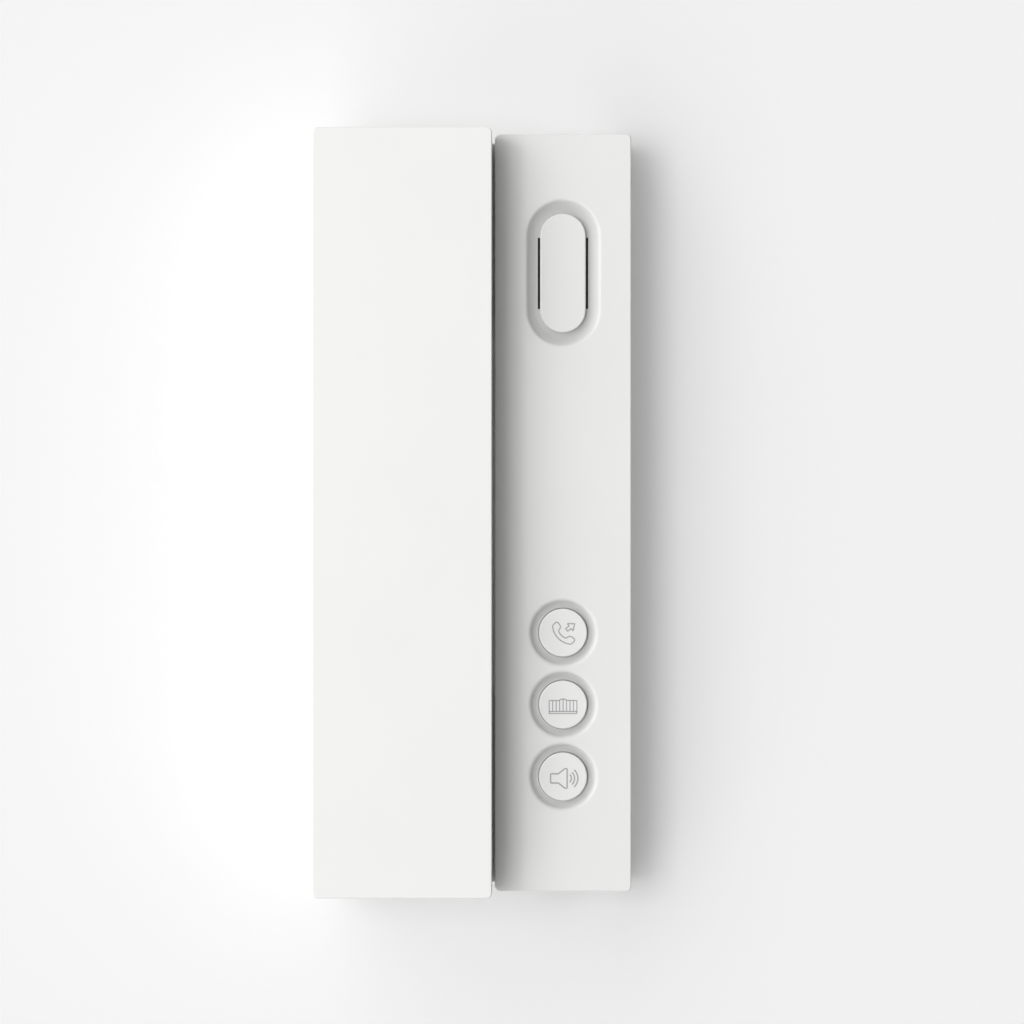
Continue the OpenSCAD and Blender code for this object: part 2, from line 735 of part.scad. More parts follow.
module board_connectors() color(white_plastic) upright()
    for (x = [board_x0 + header_inset, board_x1 - header_inset])
        translate([x, terminal_y + header_rise, board_front_d]) difference() {
            block(-header_l / 2, header_l / 2, -header_w / 2, header_w / 2, 0, header_h);
            block(-header_l / 2 + header_wall, header_l / 2 - header_wall, -header_w / 2 + header_wall,
                header_w / 2 - header_wall, header_floor, header_h + over);
        }

module terminal_block() color(terminal_green) upright() translate([column_x, terminal_y, board_d])
difference() {
    block(-terminal_w / 2, terminal_w / 2, -terminal_ways * terminal_pitch / 2,
        terminal_ways * terminal_pitch / 2, -terminal_h, 0);
    for (i = [0 : terminal_ways - 1]) {
        y = (i - (terminal_ways - 1) / 2) * terminal_pitch;
        post(terminal_screw_x, y, terminal_well_d, -terminal_h - over, -terminal_h + terminal_well_l);
        translate([-terminal_w / 2 - over, y, -terminal_h / 3]) rotate([0, 90, 0])
            cylinder(d = terminal_entry_d, h = over + terminal_w / 2);
    }
}

module terminal_screws() color(zinc_steel) upright() for (i = [0 : terminal_ways - 1])
    translate([column_x + terminal_screw_x, terminal_y + (i - (terminal_ways - 1) / 2) * terminal_pitch,
        board_d - terminal_h + terminal_well_l]) difference() {
            post(0, 0, terminal_screw_d, -terminal_screw_l, 0);
            block(-terminal_screw_d, terminal_screw_d, -terminal_slot_w / 2, terminal_slot_w / 2,
                -terminal_screw_l - over, -terminal_screw_l + terminal_slot_d);
        }

module base_jack() color(black_plastic) upright()
    modular_socket(column_x, -column_h / 2 + jack_recess, board_d - jack_h);

// Ringer: loudspeaker clamped behind the sound outlet by two washer-head screws
module sound_mesh() color(foam_black) upright()
    post(column_x, outlet_y, ringer_d, dish_back_d - mesh_t, dish_back_d);

module ringer_gasket() color(foam_black) upright()
    ring(column_x, outlet_y, ringer_d - 2 * ringer_rim_w, ringer_d, ringer_front, dish_back_d - mesh_t);

module ringer_basket() color(zinc_steel) upright() translate([column_x, outlet_y, 0]) {
    rim_r = ringer_d / 2;
    mouth_r = rim_r - ringer_rim_w;
    foot_r = ringer_magnet_d / 2 + ringer_foot_w;
    foot_z = ringer_rim_back - ringer_cup_h;
    rotate_extrude() polygon([
        [rim_r, ringer_front - film_t], [rim_r, ringer_rim_back], [mouth_r + ringer_skin, ringer_rim_back],
        [foot_r + ringer_skin, foot_z], [ringer_vent_r, foot_z], [ringer_vent_r, foot_z + ringer_cup_t],
        [foot_r, foot_z + ringer_cup_t], [mouth_r, ringer_rim_back + ringer_step],
        [mouth_r, ringer_front - film_t]
    ]);
}

module ringer_cone() color(film_amber) upright() translate([column_x, outlet_y, ringer_front]) {
    rim_r = ringer_d / 2;
    mouth_r = rim_r - ringer_rim_w;
    roll_r = mouth_r - film_edge - film_roll_w / 2;
    film = concat(
        [[rim_r, 0]],
        [for (t = [0 : 30 : 180]) [roll_r + film_roll_w / 2 * cos(t), -film_roll_h * sin(t)]],
        [for (t = [0 : 15 : 90]) [film_dome_r * cos(t), film_dome_h * sin(t) - film_dish]]
    );
    rotate_extrude() polygon(concat(film, backwards(shifted(film, [0, -film_t]))));
}

module ringer_magnet() color(ferrite_grey) upright() post(column_x, outlet_y, ringer_magnet_d,
    ringer_rim_back - ringer_cup_h - ringer_magnet_h, ringer_rim_back - ringer_cup_h);

module ringer_screws() color(zinc_steel) upright() for (side = [-1, 1])
    screw(column_x + side * ringer_screw_k, outlet_y + side * ringer_screw_k, ringer_rim_back,
        column_in_d - ringer_rim_back + bite, shank_d, ringer_head_d, head_t);

// Hook switch: the hung handset holds the lever down on a small snap-action switch
module hook_board() color(board_green) upright() difference() {
    block(hook_switch_x - hook_board_w / 2, hook_switch_x + hook_board_w / 2, hook_y - hook_board_l / 2,
        hook_y + hook_board_l / 2, hook_board_d, hook_board_front);
    for (side = [-1, 1]) post(hook_switch_x, hook_y + side * hook_boss_y, screw_hole_d, hook_board_d - over,
        hook_board_front + over);
}

module hook_board_screws() color(zinc_steel) upright() for (side = [-1, 1])
    screw(hook_switch_x, hook_y + side * hook_boss_y, hook_board_d, board_t + pilot_l - bite);

module hook_switch() color(black_plastic) upright() difference() {
    block(hook_switch_x - micro_l / 2, hook_switch_x + micro_l / 2, hook_y - micro_w / 2,
        hook_y + micro_w / 2, hook_board_front, micro_top);
    post(hook_switch_x, hook_y, micro_button_d + 2 * running_gap,
        micro_top - micro_button_in - micro_bore_gap, micro_top + over);
}

module hook_switch_button() color(button_plastic) upright()
    post(hook_switch_x, hook_y, micro_button_d, micro_top - micro_button_in, lever_under_z - running_gap);

module hook_pin() color(zinc_steel) upright()
    up_wall(hook_y - lever_w / 2 - lever_side_gap - ear_t, hook_y + lever_w / 2 + lever_side_gap + ear_t)
        translate([pin_x, pin_z]) circle(d = pin_d);

module hook_lever() color(button_plastic) upright() up_wall(hook_y - lever_w / 2, hook_y + lever_w / 2)
    difference() {
        union() {
            translate([pin_x, pin_z]) circle(lever_hub_r);
            translate([nose_x, lever_under_z]) square([lever_arm, lever_t]);
            translate([nose_x - nose_t / 2, lever_under_z])
                square([nose_t, nose_top - nose_t / 2 - lever_under_z]);
            translate([nose_x, nose_top - nose_t / 2]) circle(d = nose_t);
        }
        translate([pin_x, pin_z]) circle(d = pin_d + 2 * running_gap);
    }

// Push button: a hollow cap with a flange behind its collar, a key against turning and a stem
module push_button(y) color(button_plastic) upright() translate([column_x, y, 0]) {
    r = button_d / 2;
    top = column_d + button_proud;
    flange_top = collar_d - flange_gap;
    difference() {
        union() {
            rotate_extrude() polygon(concat([[0, flange_top - flange_t], [r, flange_top - flange_t]],
                outer_round(r, top, button_edge_r), [[0, top]]));
            post(0, 0, button_bore_d + 2 * flange_w, flange_top - flange_t, flange_top);
            block(-key_w / 2, key_w / 2, -r - key_h, 0, flange_top - flange_t, column_in_d - 2 * over);
        }
        post(0, 0, button_d - 2 * button_wall, flange_top - flange_t - over, top - button_top_t);
    }
    post(0, 0, button_stem_d, plunger_top, top - button_top_t + bite);
}

module switch_plunger(y) color(boot_rubber) upright()
    post(column_x, y, plunger_d, plunger_top - plunger_out - plunger_in, plunger_top);

module call_button() push_button(button_y[2]);
module gate_button() push_button(button_y[1]);
module volume_button() push_button(button_y[0]);
module call_plunger() switch_plunger(button_y[2]);
module gate_plunger() switch_plunger(button_y[1]);
module volume_plunger() switch_plunger(button_y[0]);

// Handset: a front and a back tub joined by a tongue and two screws
module handset_front() color(white_plastic) upright() difference() {
    union() {
        difference() {
            soft_block(handset_x0, handset_x1, -handset_h / 2, handset_h / 2, handset_part_z + part_line,
                handset_z1, corner_r, edge_r);
            block(handset_x0 + wall, handset_x1 - wall, -handset_h / 2 + wall, handset_h / 2 - wall,
                handset_part_z - over, handset_in_z1);
        }
        for (y = handset_screw_y)
            post(handset_x, y, handset_boss_d, handset_boss_z + handset_boss_gap, handset_in_z1 + bite);
        block(handset_x - press_rib_l / 2, handset_x + press_rib_l / 2, ear_y - press_rib_t / 2,
            ear_y + press_rib_t / 2, handset_in_z0 + ear_foam_t + ear_capsule_h + press_gap,
            handset_in_z1 + bite);
        for (x = [handset_x - front_rib_x, handset_x + front_rib_x])
            block(x - front_rib_t / 2, x + front_rib_t / 2, -handset_h / 2 + wall - bite,
                handset_h / 2 - wall + bite, handset_in_z1 - front_rib_h, handset_in_z1 + bite);
    }
    for (y = handset_screw_y) post(handset_x, y, pilot_d, handset_boss_z - over, handset_boss_z + pilot_l);
}

module handset_tongue(low, out) difference() {
    block(handset_x0 + wall - out, handset_x1 - wall + out, -handset_h / 2 + wall - out,
        handset_h / 2 - wall + out, low, low + tongue_h);
    block(handset_x0 + wall + tongue_gap + tongue_t, handset_x1 - wall - tongue_gap - tongue_t,
        -handset_h / 2 + wall + tongue_gap + tongue_t, handset_h / 2 - wall - tongue_gap - tongue_t,
        low - over, low + tongue_h + over);
}

module handset_back_solid() {
    difference() {
        mirror([0, 0, 1]) soft_block(handset_x0, handset_x1, -handset_h / 2, handset_h / 2,
            -handset_part_z, -handset_z0, corner_r, handset_back_r);
        block(handset_x0 + wall, handset_x1 - wall, -handset_h / 2 + wall, handset_h / 2 - wall,
            handset_in_z0, handset_part_z + over);
    }
    handset_tongue(handset_part_z - tongue_h, bite);
    handset_tongue(handset_part_z - bite, -tongue_gap);
    for (y = handset_screw_y) post(handset_x, y, handset_boss_d, handset_in_z0 - bite, handset_boss_z);
    ring(handset_x, ear_y, ear_d + 2 * fit_gap, ear_d + 2 * fit_gap + 2 * ear_ring_t, handset_in_z0 - bite,
        handset_in_z0 + ear_ring_h);
    ring(handset_x, mic_y, mic_seat_d, mic_seat_d + 2 * mic_ring_t, handset_in_z0 - bite,
        handset_in_z0 + mic_ring_h);
    for (y = [upper_lug_y, lower_lug_y])
        block(handset_x - pocket_w / 2 - pocket_wall, handset_x + pocket_w / 2 + pocket_wall,
            y - lug_free_gap - pocket_wall, y + lug_t + lug_h + lug_tip_gap + lug_rest_gap + pocket_wall,
            handset_in_z0 - bite, seat_d + lug_h + lug_tip_gap + pocket_wall);
}

module handset_back() color(white_plastic) upright() difference() {
    handset_back_solid();
    for (y = handset_screw_y) {
        post(handset_x, y, head_d + 2 * fit_gap, handset_z0 - over, handset_head_z);
        post(handset_x, y, screw_hole_d, handset_z0, handset_boss_z + over);
    }
    sphere_r = (ear_dish_r * ear_dish_r + ear_dish_depth * ear_dish_depth) / (2 * ear_dish_depth);
    translate([handset_x, ear_y, handset_z0 + ear_dish_depth - sphere_r]) sphere(sphere_r);
    for (row = ear_rows, i = [0 : row[1] - 1])
        post(handset_x + row[0] * cos(360 * i / row[1]), ear_y + row[0] * sin(360 * i / row[1]), ear_hole_d,
            handset_z0 - over, handset_in_z0 + over);
    for (i = [-1, 0, 1])
        post(handset_x + i * mic_hole_pitch, mic_y, mic_hole_d, handset_z0 - over, handset_in_z0 + over);
    for (y = [upper_lug_y, lower_lug_y])
        across(handset_x - pocket_w / 2, handset_x + pocket_w / 2)
            lug_profile(y, handset_z0 - over, seat_d + lug_h + lug_tip_gap, lug_free_gap, lug_rest_gap);
    block(handset_x - jack_w / 2 - jack_gap, handset_x + jack_w / 2 + jack_gap, -handset_h / 2 - over,
        -handset_h / 2 + wall + tongue_gap + tongue_t + over, handset_jack_z0 - jack_gap,
        handset_part_z + 2 * tongue_h);
}

module handset_screws() color(zinc_steel) upright() for (y = handset_screw_y)
    screw(handset_x, y, handset_head_z, handset_boss_z - handset_head_z + pilot_l - bite);

module receiver_gasket() color(foam_black) upright()
    ring(handset_x, ear_y, ear_d - 2 * ear_foam_w, ear_d, handset_in_z0, handset_in_z0 + ear_foam_t);

module receiver_capsule() color(black_plastic) upright() difference() {
    union() {
        post(handset_x, ear_y, ear_d, handset_in_z0 + ear_foam_t,
            handset_in_z0 + ear_foam_t + ear_capsule_step);
        post(handset_x, ear_y, ear_capsule_back_d, handset_in_z0 + ear_foam_t + bite,
            handset_in_z0 + ear_foam_t + ear_capsule_h);
    }
    post(handset_x, ear_y, ear_mouth_d, handset_in_z0 + ear_foam_t - over,
        handset_in_z0 + ear_foam_t + ear_mouth_depth);
}

module microphone_boot() color(boot_rubber) upright() difference() {
    post(handset_x, mic_y, mic_boot_d, handset_in_z0, handset_in_z0 + mic_boot_floor + mic_h);
    post(handset_x, mic_y, mic_bore_d, handset_in_z0 + mic_boot_floor,
        handset_in_z0 + mic_boot_floor + mic_h + over);
    post(handset_x, mic_y, mic_d / 2, handset_in_z0 - over, handset_in_z0 + mic_boot_floor + over);
}

module microphone_capsule() color(zinc_steel) upright()
    post(handset_x, mic_y, mic_d, handset_in_z0 + mic_boot_floor, handset_in_z0 + mic_boot_floor + mic_h);

module handset_jack() color(black_plastic) upright()
    modular_socket(handset_x, -handset_h / 2 + jack_recess, handset_jack_z0);

wall_plate();
base_housing();
case_screw();
main_board();
board_screws();
button_switches();
capacitors();
controller_chip();
board_connectors();
terminal_block();
terminal_screws();
base_jack();
sound_mesh();
ringer_gasket();
ringer_basket();
ringer_cone();
ringer_magnet();
ringer_screws();
hook_board();
hook_board_screws();
hook_switch();
hook_switch_button();
hook_pin();
hook_lever();
call_button();
gate_button();
volume_button();
call_plunger();
gate_plunger();
volume_plunger();
handset_front();
handset_back();
handset_screws();
receiver_gasket();
receiver_capsule();
microphone_boot();
microphone_capsule();
handset_jack();
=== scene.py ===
import json
import math

import bmesh
import bpy
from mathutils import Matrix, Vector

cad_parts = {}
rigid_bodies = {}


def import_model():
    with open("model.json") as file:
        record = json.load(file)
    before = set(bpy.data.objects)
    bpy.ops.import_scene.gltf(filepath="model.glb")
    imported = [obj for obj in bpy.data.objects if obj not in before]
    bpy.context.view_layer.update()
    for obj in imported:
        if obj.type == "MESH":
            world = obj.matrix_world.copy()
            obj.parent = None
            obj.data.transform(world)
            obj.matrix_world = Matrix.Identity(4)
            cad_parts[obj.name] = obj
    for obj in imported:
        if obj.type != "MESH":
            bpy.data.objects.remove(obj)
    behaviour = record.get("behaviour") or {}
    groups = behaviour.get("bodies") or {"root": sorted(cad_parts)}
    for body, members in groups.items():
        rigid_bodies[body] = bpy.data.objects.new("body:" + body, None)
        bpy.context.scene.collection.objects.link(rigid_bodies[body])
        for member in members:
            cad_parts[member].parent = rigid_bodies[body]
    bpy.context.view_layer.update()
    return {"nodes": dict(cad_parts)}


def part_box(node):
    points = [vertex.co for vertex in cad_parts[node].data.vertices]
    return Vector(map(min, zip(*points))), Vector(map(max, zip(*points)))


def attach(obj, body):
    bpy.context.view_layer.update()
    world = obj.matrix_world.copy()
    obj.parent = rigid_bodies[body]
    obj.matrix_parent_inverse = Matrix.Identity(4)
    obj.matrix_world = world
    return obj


for start_object in list(bpy.data.objects):
    bpy.data.objects.remove(start_object)
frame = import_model()
mm = 0.001

# Wall plate: the flat white ABS moulding that is screwed to the wall before anything else.
# It is injection moulded, with a dull face that the tool leaves unpolished, and its
# prongs and screw boss hold the housing.


def new_finish(name, colour, roughness, metallic=0.0):
    """A material with one shader, its even values set on the shader's own sockets."""
    material = bpy.data.materials.new(name)
    material.use_nodes = True
    shader = material.node_tree.nodes["Principled BSDF"]
    shader.inputs["Base Color"].default_value = (*colour, 1.0)
    shader.inputs["Roughness"].default_value = roughness
    shader.inputs["Metallic"].default_value = metallic
    return material, material.node_tree, shader


def speckle(tree, size, detail=2.0, stretch=(1.0, 1.0, 1.0)):
    """Noise whose blotches are about size across, fixed to the piece."""
    place = tree.nodes.new("ShaderNodeTexCoord")
    mapping = tree.nodes.new("ShaderNodeMapping")
    mapping.inputs["Scale"].default_value = stretch
    tree.links.new(place.outputs["Object"], mapping.inputs["Vector"])
    noise = tree.nodes.new("ShaderNodeTexNoise")
    noise.inputs["Scale"].default_value = 1.0 / size
    noise.inputs["Detail"].default_value = detail
    tree.links.new(mapping.outputs["Vector"], noise.inputs["Vector"])
    return noise.outputs["Fac"]


def tint(tree, shader, mask, dark, light):
    """Colour that runs from dark to light with the mask."""
    ramp = tree.nodes.new("ShaderNodeValToRGB")
    ramp.color_ramp.elements[0].position = 0.3
    ramp.color_ramp.elements[0].color = (*dark, 1.0)
    ramp.color_ramp.elements[1].position = 0.7
    ramp.color_ramp.elements[1].color = (*light, 1.0)
    tree.links.new(mask, ramp.inputs["Fac"])
    tree.links.new(ramp.outputs["Color"], shader.inputs["Base Color"])


def sheen_change(tree, shader, mask, low, high):
    """Roughness that runs from low to high with the mask."""
    spread = tree.nodes.new("ShaderNodeMapRange")
    spread.inputs["To Min"].default_value = low
    spread.inputs["To Max"].default_value = high
    tree.links.new(mask, spread.inputs["Value"])
    tree.links.new(spread.outputs["Result"], shader.inputs["Roughness"])


def relief(tree, shader, mask, depth, strength):
    """Fine relief of the given depth in the surface."""
    bump = tree.nodes.new("ShaderNodeBump")
    bump.inputs["Strength"].default_value = strength
    bump.inputs["Distance"].default_value = depth
    tree.links.new(mask, bump.inputs["Height"])
    tree.links.new(bump.outputs["Normal"], shader.inputs["Normal"])


def moulded_plastic(name, colour, roughness, grain, grain_depth, strength):
    """Injection moulded plastic: faint flow marks in the colour and the tool's grain in the relief."""
    material, tree, shader = new_finish(name, colour, roughness)
    flow = speckle(tree, 30 * mm, detail=3.0)
    tint(tree, shader, flow, [0.992 * part for part in colour], [min(1.0, 1.006 * part) for part in colour])
    fine = speckle(tree, grain, detail=3.0)
    sheen_change(tree, shader, fine, roughness - 0.05, roughness + 0.07)
    relief(tree, shader, fine, grain_depth, strength)
    return material


def coat(material, *nodes):
    """Gives carried-over CAD pieces their finish."""
    for node in nodes:
        slots = frame["nodes"][node].data.materials
        slots.clear()
        slots.append(material)


plate_plastic = moulded_plastic("plate_plastic", (0.84, 0.84, 0.825), 0.56, 0.5 * mm, 0.03 * mm, 0.35)
coat(plate_plastic, "wall_plate")

# Case screw: a zinc-plated self-tapping screw through the recess floor into the plate's boss.
# Its pan head has a pressed cross, and the plating has a faint cloudy grey bloom.
zinc, zinc_tree, zinc_shader = new_finish("bright_zinc", (0.60, 0.61, 0.63), 0.32, metallic=1.0)
zinc_cloud = speckle(zinc_tree, 1.2 * mm, detail=4.0)
tint(zinc_tree, zinc_shader, zinc_cloud, (0.50, 0.51, 0.53), (0.66, 0.67, 0.69))
sheen_change(zinc_tree, zinc_shader, zinc_cloud, 0.24, 0.44)
relief(zinc_tree, zinc_shader, speckle(zinc_tree, 0.15 * mm), 0.006 * mm, 0.4)
coat(zinc, "case_screw", "board_screws", "ringer_screws", "hook_board_screws", "handset_screws", "hook_pin")

# Base housing: column, cradle, platforms, lugs and dished rings in one white ABS moulding.
# The visible faces carry a very fine spark-eroded grain, much finer than the plate's, and painted
# shade darkens the white towards the floor of the dishes round the buttons and the sound outlet.


def within(tree, coordinate, first, last):
    """A mask that is 1 where the coordinate lies between first and last."""
    band = tree.nodes.new("ShaderNodeMath")
    band.operation = "COMPARE"
    band.inputs[1].default_value = (first + last) / 2
    band.inputs[2].default_value = (last - first) / 2
    tree.links.new(coordinate, band.inputs[0])
    return band.outputs["Value"]


def paint_dish_shade(material, low, high, share):
    """Paints shade into the colour between two corners of a block, from full at its front to a share of it at
    its back.
    """
    tree = material.node_tree
    shader = tree.nodes["Principled BSDF"]
    place = tree.nodes.new("ShaderNodeTexCoord")
    axes = tree.nodes.new("ShaderNodeSeparateXYZ")
    tree.links.new(place.outputs["Object"], axes.inputs["Vector"])
    inside = tree.nodes.new("ShaderNodeMath")
    inside.operation = "MULTIPLY"
    tree.links.new(within(tree, axes.outputs["X"], low[0], high[0]), inside.inputs[0])
    tree.links.new(within(tree, axes.outputs["Z"], low[2], high[2]), inside.inputs[1])
    painted_depth_shade = tree.nodes.new("ShaderNodeMapRange")
    painted_depth_shade.inputs["From Min"].default_value = low[1]
    painted_depth_shade.inputs["From Max"].default_value = high[1]
    painted_depth_shade.inputs["To Min"].default_value = 1.0
    painted_depth_shade.inputs["To Max"].default_value = share
    tree.links.new(axes.outputs["Y"], painted_depth_shade.inputs["Value"])
    painted_dish_shade = tree.nodes.new("ShaderNodeMix")
    painted_dish_shade.inputs["A"].default_value = 1.0
    tree.links.new(inside.outputs["Value"], painted_dish_shade.inputs["Factor"])
    tree.links.new(painted_depth_shade.outputs["Result"], painted_dish_shade.inputs["B"])
    shaded_colour = tree.nodes.new("ShaderNodeVectorMath")
    shaded_colour.operation = "SCALE"
    tree.links.new(shader.inputs["Base Color"].links[0].from_socket, shaded_colour.inputs["Vector"])
    tree.links.new(painted_dish_shade.outputs["Result"], shaded_colour.inputs["Scale"])
    tree.links.new(shaded_colour.outputs["Vector"], shader.inputs["Base Color"])


button_proud = 0.2 * mm
dish_depth = 1.35 * mm
dish_reach = 4.5 * mm
# Painted shade: the share of the colour left at the floors of the dishes.
dish_floor_painted_shade = 0.67
base_plastic = moulded_plastic("base_plastic", (0.848, 0.848, 0.839), 0.36, 0.22 * mm, 0.016 * mm, 0.30)
lowest_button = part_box("volume_button")
mesh_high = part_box("sound_mesh")[1]
column_face = lowest_button[0].y + button_proud
paint_dish_shade(base_plastic,
              (lowest_button[0].x - dish_reach, column_face, lowest_button[0].z - dish_reach),
              (lowest_button[1].x + dish_reach, column_face + dish_depth, mesh_high.z + 2 * dish_reach),
              dish_floor_painted_shade)
coat(base_plastic, "base_housing")

# Ringer: a dust mesh, a foam ring and a small loudspeaker clamped behind the sound outlet.
# The mesh is woven black nylon, the foam is open-celled, the basket is pressed steel,
# the cone is an amber film and the magnet is ground ferrite.


def woven(tree, pitch, along):
    """One set of threads, pitch apart, lying across the given axis."""
    place = tree.nodes.new("ShaderNodeTexCoord")
    wave = tree.nodes.new("ShaderNodeTexWave")
    wave.bands_direction = along
    wave.inputs["Scale"].default_value = math.pi / (10.0 * pitch)
    tree.links.new(place.outputs["Object"], wave.inputs["Vector"])
    return wave.outputs["Fac"]


mesh_cloth, mesh_tree, mesh_shader = new_finish("woven_dust_mesh", (0.012, 0.012, 0.013), 0.75)
warp_and_weft = mesh_tree.nodes.new("ShaderNodeMath")
warp_and_weft.operation = "MULTIPLY"
mesh_tree.links.new(woven(mesh_tree, 0.25 * mm, "X"), warp_and_weft.inputs[0])
mesh_tree.links.new(woven(mesh_tree, 0.25 * mm, "Z"), warp_and_weft.inputs[1])
tint(mesh_tree, mesh_shader, warp_and_weft.outputs["Value"], (0.006, 0.006, 0.007), (0.022, 0.022, 0.024))
relief(mesh_tree, mesh_shader, warp_and_weft.outputs["Value"], 0.06 * mm, 0.8)
coat(mesh_cloth, "sound_mesh")

foam, foam_tree, foam_shader = new_finish("open_cell_foam", (0.022, 0.022, 0.023), 0.95)
foam_cells = speckle(foam_tree, 0.35 * mm, detail=4.0)
tint(foam_tree, foam_shader, foam_cells, (0.008, 0.008, 0.009), (0.040, 0.040, 0.042))
relief(foam_tree, foam_shader, foam_cells, 0.15 * mm, 0.9)
coat(foam, "ringer_gasket", "receiver_gasket")

pressed_steel, steel_tree, steel_shader = new_finish("pressed_steel", (0.55, 0.56, 0.58), 0.38, metallic=1.0)
drawing_marks = speckle(steel_tree, 0.8 * mm, detail=3.0, stretch=(1.0, 0.15, 1.0))
tint(steel_tree, steel_shader, drawing_marks, (0.47, 0.48, 0.50), (0.60, 0.61, 0.63))
sheen_change(steel_tree, steel_shader, drawing_marks, 0.30, 0.48)
relief(steel_tree, steel_shader, drawing_marks, 0.01 * mm, 0.4)
coat(pressed_steel, "ringer_basket", "microphone_capsule")

film, film_tree, film_shader = new_finish("amber_film", (0.44, 0.26, 0.07), 0.24)
film_cloud = speckle(film_tree, 4 * mm)
tint(film_tree, film_shader, film_cloud, (0.38, 0.21, 0.05), (0.50, 0.31, 0.10))
sheen_change(film_tree, film_shader, film_cloud, 0.18, 0.32)
coat(film, "ringer_cone")

ferrite, ferrite_tree, ferrite_shader = new_finish("ground_ferrite", (0.055, 0.055, 0.060), 0.58)
grinding = speckle(ferrite_tree, 0.5 * mm, detail=5.0, stretch=(1.0, 1.0, 0.2))
tint(ferrite_tree, ferrite_shader, grinding, (0.040, 0.040, 0.044), (0.080, 0.080, 0.086))
relief(ferrite_tree, ferrite_shader, grinding, 0.02 * mm, 0.5)
coat(ferrite, "ringer_magnet")

# Circuit boards: glass laminate under a green solder mask, with copper tracks raised beneath it.
# The main board is screwed to four bosses of the housing, the hook board to two.
track_pitches = (2.3 * mm, 5.1 * mm)
track_edge = 0.72
laminate, laminate_tree, laminate_shader = new_finish("green_laminate", (0.020, 0.105, 0.045), 0.34)
tracks = laminate_tree.nodes.new("ShaderNodeMath")
tracks.operation = "MAXIMUM"
for socket, direction in enumerate("XZ"):
    ribbon = laminate_tree.nodes.new("ShaderNodeMath")
    ribbon.operation = "GREATER_THAN"
    ribbon.inputs[1].default_value = track_edge
    laminate_tree.links.new(woven(laminate_tree, track_pitches[socket], direction), ribbon.inputs[0])
    laminate_tree.links.new(ribbon.outputs["Value"], tracks.inputs[socket])
tint(laminate_tree, laminate_shader, tracks.outputs["Value"], (0.016, 0.090, 0.038), (0.035, 0.165, 0.065))
relief(laminate_tree, laminate_shader, tracks.outputs["Value"], 0.03 * mm, 0.6)
coat(laminate, "main_board", "hook_board")

# Parts soldered to the boards: switches, the control chip and the snap-action switch in black
# resin, the capacitors in a dark sleeve, the plug-in headers in natural nylon.
resin, resin_tree, resin_shader = new_finish("black_resin", (0.020, 0.020, 0.022), 0.42)
resin_grain = speckle(resin_tree, 0.3 * mm, detail=4.0)
tint(resin_tree, resin_shader, resin_grain, (0.014, 0.014, 0.015), (0.028, 0.028, 0.030))
sheen_change(resin_tree, resin_shader, resin_grain, 0.34, 0.54)
relief(resin_tree, resin_shader, resin_grain, 0.02 * mm, 0.4)
coat(resin, "button_switches", "controller_chip", "hook_switch", "receiver_capsule")

sleeve, sleeve_tree, sleeve_shader = new_finish("capacitor_sleeve", (0.018, 0.022, 0.040), 0.30)
sleeve_shrink = speckle(sleeve_tree, 2.5 * mm, stretch=(1.0, 0.3, 1.0))
tint(sleeve_tree, sleeve_shader, sleeve_shrink, (0.012, 0.015, 0.030), (0.026, 0.031, 0.052))
sheen_change(sleeve_tree, sleeve_shader, sleeve_shrink, 0.22, 0.40)
coat(sleeve, "capacitors")

nylon = moulded_plastic("natural_nylon", (0.66, 0.64, 0.56), 0.48, 0.4 * mm, 0.02 * mm, 0.4)
coat(nylon, "board_connectors")

# Terminal block: a row of screw clamps in green glass-filled nylon for the installation cable.
# Its heads are slotted and zinc plated, and show through the opening in the wall plate.
terminal_nylon, terminal_tree, terminal_shader = new_finish("terminal_nylon", (0.030, 0.150, 0.062), 0.50)
glass_fibre = speckle(terminal_tree, 0.35 * mm, detail=4.0, stretch=(1.0, 1.0, 0.35))
tint(terminal_tree, terminal_shader, glass_fibre, (0.024, 0.125, 0.050), (0.040, 0.185, 0.080))
sheen_change(terminal_tree, terminal_shader, glass_fibre, 0.42, 0.60)
relief(terminal_tree, terminal_shader, glass_fibre, 0.02 * mm, 0.5)
coat(terminal_nylon, "terminal_block")
coat(zinc, "terminal_screws")

# Cord sockets: two four-contact modular sockets in black resin, one under the column and one
# in the handset's lower end. Four sprung wires, gold plated, lean into each mouth.
contact_count = 4
contact_pitch = 1.02 * mm
contact_wire = 0.36 * mm
socket_wall = 0.9 * mm
contact_start = (1.6 * mm, 0.35 * mm)
contact_knee = (2.6 * mm, 0.45 * mm)
contact_tip = (8.6 * mm, 2.1 * mm)

gold, gold_tree, gold_shader = new_finish("plated_gold", (0.83, 0.58, 0.22), 0.24, metallic=1.0)
gold_haze = speckle(gold_tree, 0.3 * mm, detail=3.0)
tint(gold_tree, gold_shader, gold_haze, (0.74, 0.50, 0.17), (0.88, 0.64, 0.28))
sheen_change(gold_tree, gold_shader, gold_haze, 0.18, 0.32)


def add_piece(name, mesh_builder, material, body):
    """Turns a filled bmesh into a piece that rides on a body."""
    mesh = bpy.data.meshes.new(name)
    bmesh.ops.recalc_face_normals(mesh_builder, faces=mesh_builder.faces)
    mesh_builder.to_mesh(mesh)
    mesh_builder.free()
    mesh.materials.append(material)
    piece = bpy.data.objects.new(name, mesh)
    bpy.context.scene.collection.objects.link(piece)
    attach(piece, body)
    return piece


